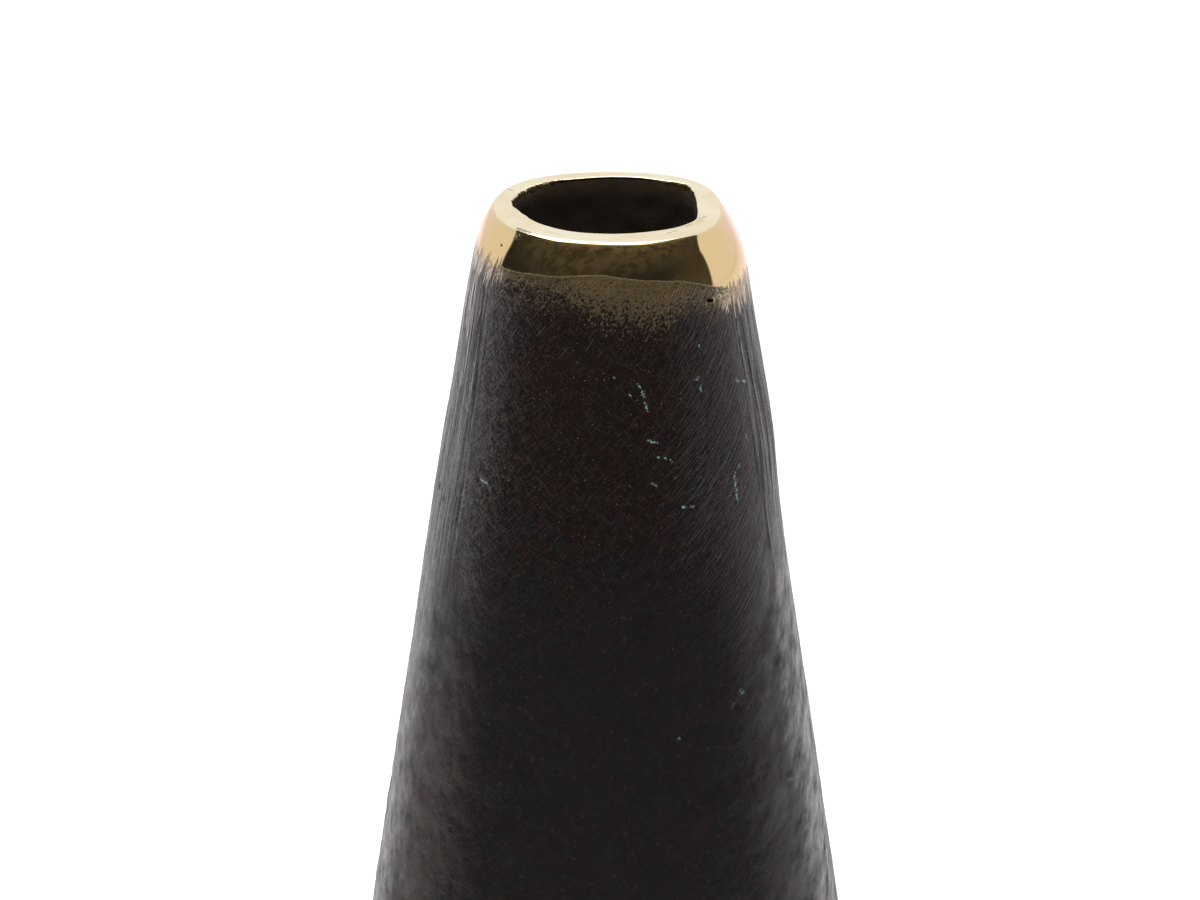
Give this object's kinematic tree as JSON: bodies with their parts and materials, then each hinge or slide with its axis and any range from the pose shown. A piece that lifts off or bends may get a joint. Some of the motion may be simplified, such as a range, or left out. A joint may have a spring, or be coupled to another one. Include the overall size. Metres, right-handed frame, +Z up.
{
  "type": "cast brass vase",
  "caption": "Tall tapering vase of rounded-square section in dark patinated cast brass, with a polished lip, a narrow mouth and a closed, felted foot.",
  "frame": {"origin": "centre of the standing face under the felt pad, on the vase's own axis", "axes": "+Z up along the vase's axis, out of the mouth; -Y is the side that faces the camera in the picture; +X is to its right"},
  "size_m": [0.0992, 0.0992, 0.19],
  "materials": {
    "patinated_brass": "dark brown-black patina, scratch-brushed, polished bright at the lip",
    "plain_brass": "satin, lightly tarnished",
    "soft_solder": "dull grey tin solder",
    "felt": "dark green wool felt"
  },
  "bodies": {
    "root": {"body_casting": "patinated_brass", "base_plate": "plain_brass", "solder_seam": "soft_solder", "felt_pad": "felt"}
  },
  "joints": []
}
